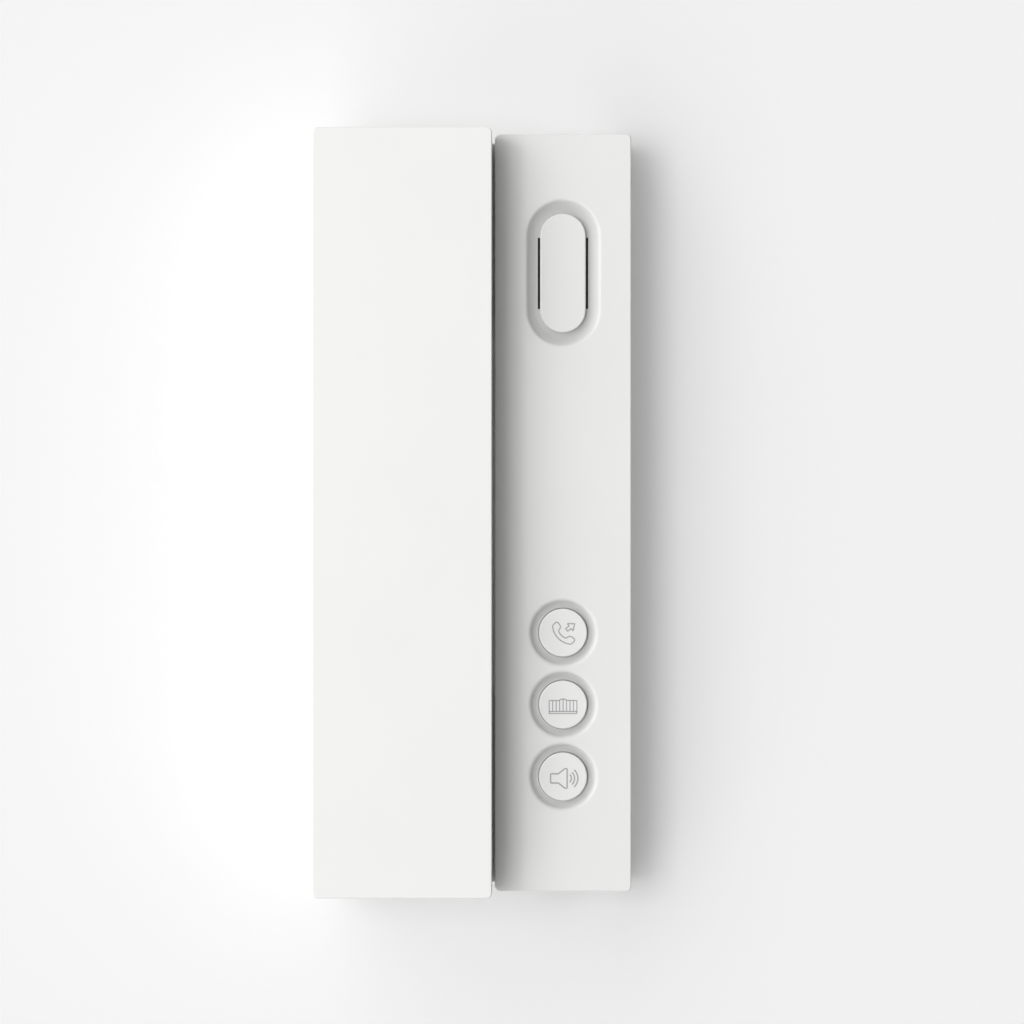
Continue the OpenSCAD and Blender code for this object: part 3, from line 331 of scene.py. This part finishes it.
def bent_wire(builder, points, thickness, sides=10):
    """A round wire in the plane of the socket, mitred at its bends and closed at both ends."""
    rings = []
    for i, (x, y, z) in enumerate(points):
        before = points[max(i - 1, 0)]
        after = points[min(i + 1, len(points) - 1)]
        run_y, run_z = after[1] - before[1], after[2] - before[2]
        length = math.hypot(run_y, run_z)
        across_y, across_z = -run_z / length, run_y / length
        ring = []
        for k in range(sides):
            turn = math.tau * k / sides
            out = thickness / 2 * math.sin(turn)
            ring.append(builder.verts.new(
                (x + thickness / 2 * math.cos(turn), y + across_y * out, z + across_z * out)))
        rings.append(ring)
    for first, second in zip(rings, rings[1:]):
        for k in range(sides):
            builder.faces.new((first[k], first[k - 1], second[k - 1], second[k]))
    builder.faces.new(rings[0])
    builder.faces.new(list(reversed(rings[-1])))


coat(resin, "base_jack", "handset_jack")
for socket_node, socket_body in (("base_jack", "base"), ("handset_jack", "handset")):
    low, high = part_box(socket_node)
    floor_y = high.y - socket_wall
    builder = bmesh.new()
    for i in range(contact_count):
        wire_x = (low.x + high.x) / 2 + (i - (contact_count - 1) / 2) * contact_pitch
        bent_wire(builder, [(wire_x, floor_y - rise, low.z + deep)
                            for deep, rise in (contact_start, contact_knee, contact_tip)], contact_wire)
    add_piece(socket_node + "_contacts", builder, gold, socket_body)

# Hook lever: a white acetal lever on a steel pin, whose nose leans on the hung handset.
# It presses the button of the snap-action switch on the hook board.
acetal = moulded_plastic("acetal", (0.80, 0.80, 0.785), 0.36, 0.3 * mm, 0.012 * mm, 0.3)
coat(acetal, "hook_lever", "hook_switch_button")

# Buttons: three round caps of smooth white plastic, flush in their dished rings, each on a
# rubber-tipped switch. Each cap carries a thin outline sign, pad printed in grey.
button_plastic = moulded_plastic("button_plastic", (0.872, 0.872, 0.867), 0.40, 0.20 * mm, 0.010 * mm, 0.25)
coat(button_plastic, "call_button", "gate_button", "volume_button")

tip_rubber, rubber_tree, rubber_shader = new_finish("tip_rubber", (0.030, 0.030, 0.031), 0.78)
rubber_bloom = speckle(rubber_tree, 0.6 * mm, detail=3.0)
tint(rubber_tree, rubber_shader, rubber_bloom, (0.022, 0.022, 0.023), (0.042, 0.042, 0.043))
sheen_change(rubber_tree, rubber_shader, rubber_bloom, 0.68, 0.88)
relief(rubber_tree, rubber_shader, rubber_bloom, 0.02 * mm, 0.4)
coat(tip_rubber, "call_plunger", "gate_plunger", "volume_plunger", "microphone_boot")

ink_proud = 0.02 * mm
ink_sunk = 0.03 * mm
sign_ink, ink_tree, ink_shader = new_finish("sign_ink", (0.42, 0.42, 0.425), 0.55)
ink_cover = speckle(ink_tree, 0.25 * mm, detail=3.0)
tint(ink_tree, ink_shader, ink_cover, (0.39, 0.39, 0.395), (0.45, 0.45, 0.455))
relief(ink_tree, ink_shader, ink_cover, 0.004 * mm, 0.4)


def arc(centre, radius, first, last, steps):
    """Points along an arc, its angles in degrees."""
    return [(centre[0] + radius * math.cos(math.radians(first + (last - first) * i / steps)),
             centre[1] + radius * math.sin(math.radians(first + (last - first) * i / steps)))
            for i in range(steps + 1)]


def softened(corners, radius, steps=5):
    """A closed outline whose corners are rounded off by about the radius."""
    outline = []
    for i, corner in enumerate(corners):
        ends = []
        for other in (corners[i - 1], corners[(i + 1) % len(corners)]):
            run = math.dist(corner, other)
            share = min(radius / run, 0.45)
            ends.append([corner[k] + (other[k] - corner[k]) * share for k in (0, 1)])
        for step in range(steps + 1):
            t = step / steps
            outline.append(tuple((1 - t) ** 2 * ends[0][k] + 2 * t * (1 - t) * corner[k] + t * t * ends[1][k]
                                 for k in (0, 1)))
    return outline


def ink_line(builder, centre, front, width, points, closed):
    """One printed line: a flat closed ribbon along points given in millimetres from the cap's centre."""
    count = len(points)
    edges = []
    for i, point in enumerate(points):
        before = points[i - 1] if closed or i else point
        after = points[(i + 1) % count] if closed or i < count - 1 else point
        runs = [(b[0] - a[0], b[1] - a[1]) for a, b in ((before, point), (point, after)) if a != b]
        normals = [(-run[1] / math.hypot(*run), run[0] / math.hypot(*run)) for run in runs]
        across = [sum(normal[k] for normal in normals) / len(normals) for k in (0, 1)]
        spread = width / 2 / max(across[0] ** 2 + across[1] ** 2, 0.35)
        column = []
        for side, depth in ((1, -ink_proud), (-1, -ink_proud), (-1, ink_sunk), (1, ink_sunk)):
            column.append(builder.verts.new((
                centre[0] + point[0] * mm + side * across[0] * spread,
                front + depth,
                centre[1] + point[1] * mm + side * across[1] * spread)))
        edges.append(column)
    for i in range(count if closed else count - 1):
        first, second = edges[i], edges[(i + 1) % count]
        for k in range(4):
            builder.faces.new((first[k], first[k - 1], second[k - 1], second[k]))
    if not closed:
        builder.faces.new(edges[0])
        builder.faces.new(list(reversed(edges[-1])))


def leaning(points, at, turn):
    """Points turned by an angle in degrees and moved to a place."""
    cos, sin = math.cos(math.radians(turn)), math.sin(math.radians(turn))
    return [(at[0] + u * cos - v * sin, at[1] + u * sin + v * cos) for u, v in points]


# A handset leaning to the right, with an arrow leaving its mouthpiece
handset_back_curve = arc((0, 3.16), 5.36, 310.8, 229.2, 12)
handset_sign = [(-3.5, 0.8), (-1.6, 0.5), (-1.45, -0.85), (0, -1.1), (1.45, -0.85), (1.6, 0.5), (3.5, 0.8)]
arrow_sign = [(2.7, 0), (1.2, 1.2), (1.15, 0.42), (0, 0.42), (0, -0.42), (1.15, -0.42), (1.2, -1.2)]
call_lines = [
    (leaning(softened(handset_sign + handset_back_curve, 0.8), (0.3, 0.05), -45), True),
    (leaning(softened(arrow_sign, 0.15), (0.95, 0.73), 38), True),
]

# A railing gate with a small arch in its top rail
gate_half, gate_foot, gate_sill, gate_shoulder = 3.65, -2.34, -1.80, 1.10
arch_half, arch_rise, arch_steps = 1.1, 0.42, 12
gate_bars = 9
gate_lines = [
    ([(-gate_half, gate_foot), (gate_half, gate_foot)], False),
    ([(-gate_half, gate_sill), (gate_half, gate_sill)], False),
    ([(-gate_half, gate_shoulder)]
     + [(arch_half * (2 * i / arch_steps - 1), gate_shoulder + arch_rise * math.sin(math.pi * i / arch_steps))
        for i in range(arch_steps + 1)]
     + [(gate_half, gate_shoulder)], False),
]
for i in range(gate_bars):
    bar_x = gate_half * (2 * i / (gate_bars - 1) - 1)
    arch = arch_rise * math.cos(math.pi / 2 * min(abs(bar_x) / arch_half, 1.0))
    bar_foot = gate_foot if i in (0, gate_bars - 1) else gate_sill
    gate_lines.append(([(bar_x, bar_foot), (bar_x, gate_shoulder + arch)], False))

# A loudspeaker with three sound waves
speaker_z = -0.46
speaker_half = [(-3.3, 1.22), (-1.25, 1.22), (0.5, 2.62), (1.08, 2.56)]
speaker_sign = speaker_half + [(x, -z) for x, z in reversed(speaker_half)]
speaker_lines = [(leaning(softened(speaker_sign, 0.3), (0, speaker_z), 0), True)]
wave_centre = (0.82, speaker_z)
for wave_radius in (1.38, 2.21, 3.09):
    speaker_lines.append((arc(wave_centre, wave_radius, -47, 47, 12), False))

for sign, button, body, ink_width, lines in (
        ("call_sign", "call_button", "call_key", 0.34 * mm, call_lines),
        ("gate_sign", "gate_button", "gate_key", 0.28 * mm, gate_lines),
        ("volume_sign", "volume_button", "volume_key", 0.39 * mm, speaker_lines)):
    low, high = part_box(button)
    cap_centre = ((low.x + high.x) / 2, (low.z + high.z) / 2)
    builder = bmesh.new()
    for points, closed in lines:
        ink_line(builder, cap_centre, low.y, ink_width, points, closed)
    add_piece(sign, builder, sign_ink, body)

# Handset shells: two tubs of the same white ABS as the base, joined by a tongue and two screws.
# The faces are plain, with a shallower grain than the base's, not to be seen from a step away.
handset_plastic = moulded_plastic("handset_plastic", (0.885, 0.885, 0.870), 0.40, 0.25 * mm, 0.008 * mm, 0.2)
coat(handset_plastic, "handset_front", "handset_back")

# The wall behind: a plain painted white face that takes the object's soft shadow.
# It shows from the front only, so that the wall plate can be seen from behind, and it has a
# little paleness of its own, which lights nothing.


def seen_rays(nodes, links):
    """1 for rays from the camera and for those that gloss, metal or glass send on, 0 for falling light."""
    ray = nodes.new("ShaderNodeLightPath")
    mirrored = nodes.new("ShaderNodeMath")
    mirrored.operation = "MAXIMUM"
    links.new(ray.outputs["Is Glossy Ray"], mirrored.inputs[0])
    links.new(ray.outputs["Is Transmission Ray"], mirrored.inputs[1])
    seen = nodes.new("ShaderNodeMath")
    seen.operation = "MAXIMUM"
    links.new(ray.outputs["Is Camera Ray"], seen.inputs[0])
    links.new(mirrored.outputs["Value"], seen.inputs[1])
    return seen.outputs["Value"]


wall_size = 3.0
wall_gap = 0.5 * mm
wall_paleness = 0.12
wall_mesh = bpy.data.meshes.new("wall")
wall_mesh.from_pydata([(-wall_size, wall_gap, -wall_size), (wall_size, wall_gap, -wall_size),
                       (wall_size, wall_gap, wall_size), (-wall_size, wall_gap, wall_size)],
                      [], [(0, 1, 2, 3)])
wall = bpy.data.objects.new("wall", wall_mesh)
bpy.context.scene.collection.objects.link(wall)
wall.visible_diffuse = False
wall.visible_shadow = False
wall_paint = bpy.data.materials.new("wall_paint")
wall_paint.use_nodes = True
wall_nodes, wall_links = wall_paint.node_tree.nodes, wall_paint.node_tree.links
wall_nodes.remove(wall_nodes["Principled BSDF"])
paint = wall_nodes.new("ShaderNodeBsdfDiffuse")
paint.inputs["Color"].default_value = (0.89, 0.89, 0.89, 1.0)
wall_lift = wall_nodes.new("ShaderNodeMath")
wall_lift.operation = "MULTIPLY"
wall_lift.inputs[1].default_value = wall_paleness
wall_links.new(seen_rays(wall_nodes, wall_links), wall_lift.inputs[0])
pale = wall_nodes.new("ShaderNodeEmission")
wall_links.new(wall_lift.outputs["Value"], pale.inputs["Strength"])
pale_paint = wall_nodes.new("ShaderNodeAddShader")
wall_links.new(paint.outputs["BSDF"], pale_paint.inputs[0])
wall_links.new(pale.outputs["Emission"], pale_paint.inputs[1])
unseen = wall_nodes.new("ShaderNodeBsdfTransparent")
side = wall_nodes.new("ShaderNodeNewGeometry")
front_only = wall_nodes.new("ShaderNodeMixShader")
wall_links.new(side.outputs["Backfacing"], front_only.inputs["Fac"])
wall_links.new(pale_paint.outputs["Shader"], front_only.inputs[1])
wall_links.new(unseen.outputs["BSDF"], front_only.inputs[2])
wall_links.new(front_only.outputs["Shader"], wall_nodes["Material Output"].inputs["Surface"])
wall_mesh.materials.append(wall_paint)

# Light: a room whose left half is bright, an even grey behind the wall for the views of the back,
# and three soft boxes. The handset's front shell doesn't block the one at the side, so that the
# rims of the dished rings catch it, and that box leaves the wall alone.
room_left = 1.34
room_stops = ((-1.0, 0.37), (-0.83, 0.37), (-0.77, 1.0), (-0.05, 1.0), (0.01, 0.26), (0.58, 0.0))
room_behind = 0.50
world = bpy.data.worlds.new("white_room")
bpy.context.scene.world = world
world.use_nodes = True
room_nodes, room_links = world.node_tree.nodes, world.node_tree.links
room = room_nodes["Background"]
room.inputs["Color"].default_value = (1.0, 1.0, 1.0, 1.0)
direction = room_nodes.new("ShaderNodeTexCoord")
axes = room_nodes.new("ShaderNodeSeparateXYZ")
room_links.new(direction.outputs["Generated"], axes.inputs["Vector"])
across = room_nodes.new("ShaderNodeMapRange")
across.inputs["From Min"].default_value = -1.0
room_links.new(axes.outputs["X"], across.inputs["Value"])
share = room_nodes.new("ShaderNodeValToRGB")
stops = share.color_ramp.elements
while len(stops) < len(room_stops):
    stops.new(0.5)
for stop, (place, level) in zip(stops, room_stops):
    stop.position = (place + 1.0) / 2
    stop.color = (level, level, level, 1.0)
room_links.new(across.outputs["Result"], share.inputs["Fac"])
fading = room_nodes.new("ShaderNodeMath")
fading.operation = "MULTIPLY"
fading.inputs[1].default_value = room_left
room_links.new(share.outputs["Color"], fading.inputs[0])
past_wall = room_nodes.new("ShaderNodeMath")
past_wall.operation = "GREATER_THAN"
past_wall.inputs[1].default_value = 0.0
room_links.new(axes.outputs["Y"], past_wall.inputs[0])
room_level = room_nodes.new("ShaderNodeMix")
room_level.inputs["B"].default_value = room_behind
room_links.new(past_wall.outputs["Value"], room_level.inputs["Factor"])
room_links.new(fading.outputs["Value"], room_level.inputs["A"])
room_links.new(room_level.outputs["Result"], room.inputs["Strength"])
backdrop = room_nodes.new("ShaderNodeBackground")
backdrop.inputs["Color"].default_value = (1.0, 1.0, 1.0, 1.0)
backdrop.inputs["Strength"].default_value = 1.0
room_mix = room_nodes.new("ShaderNodeMixShader")
room_links.new(seen_rays(room_nodes, room_links), room_mix.inputs["Fac"])
room_links.new(room.outputs["Background"], room_mix.inputs[1])
room_links.new(backdrop.outputs["Background"], room_mix.inputs[2])
room_links.new(room_mix.outputs["Shader"], room_nodes["World Output"].inputs["Surface"])


def soft_box(name, place, width, height, watts):
    """A rectangular lamp that faces the middle of the object."""
    lamp = bpy.data.lights.new(name, "AREA")
    lamp.shape = "RECTANGLE"
    lamp.size = width
    lamp.size_y = height
    lamp.energy = watts
    holder = bpy.data.objects.new(name, lamp)
    holder.location = place
    holder.rotation_euler = (-holder.location).to_track_quat("-Z", "Y").to_euler()
    holder.visible_camera = False
    bpy.context.scene.collection.objects.link(holder)
    return holder


def all_but(name, pieces):
    """A light linking group that stands for everything except the given pieces."""
    group = bpy.data.collections.new(name)
    for piece in pieces:
        group.objects.link(piece)
    for member in group.collection_objects:
        member.light_linking.link_state = "EXCLUDE"
    return group


soft_box("front_soft_box", (-0.833, -2.461, 0.091), 0.80, 1.0, 14.2)
side_box = soft_box("side_soft_box", (-1.577, -1.064, 0.618), 0.7, 0.6, 7.5)
side_box.light_linking.receiver_collection = all_but("lit_from_the_side", [wall])
front_shell = frame["nodes"]["handset_front"]
side_box.light_linking.blocker_collection = all_but("shading_from_the_side", [front_shell])
soft_box("rear_soft_box", (1.2, 2.2, 1.0), 1.4, 1.4, 18.0)

# Camera: square to the wall at the photograph's distance, level with the middle of the object
camera = bpy.data.cameras.new("camera")
camera.lens = 127.8
camera.sensor_width = 36.0
viewpoint = bpy.data.objects.new("camera", camera)
viewpoint.location = (0.01017, -0.986, 0.00018)
viewpoint.rotation_euler = (math.radians(90), 0.0, 0.0)
bpy.context.scene.collection.objects.link(viewpoint)
bpy.context.scene.camera = viewpoint
bpy.context.scene.view_settings.view_transform = "Standard"
